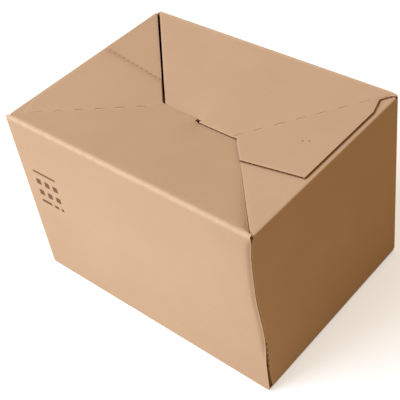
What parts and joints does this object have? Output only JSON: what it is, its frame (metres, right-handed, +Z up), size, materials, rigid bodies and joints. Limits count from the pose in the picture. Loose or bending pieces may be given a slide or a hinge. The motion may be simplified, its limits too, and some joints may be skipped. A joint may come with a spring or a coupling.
{
  "type": "corrugated cardboard carton",
  "caption": "Erected corrugated carton with its interlocking glued flaps sloping in to a short valley at the upper end.",
  "frame": {"origin": "middle of the closed end that the carton stands on", "axes": "+X along the long walls to the right, +Y along the short walls to the back, +Z up through the interlocking end"},
  "size_m": [0.31, 0.225, 0.21],
  "materials": {
    "board": "matte uncoated kraft liner"
  },
  "bodies": {
    "root": {"carton": "board"}
  },
  "joints": []
}
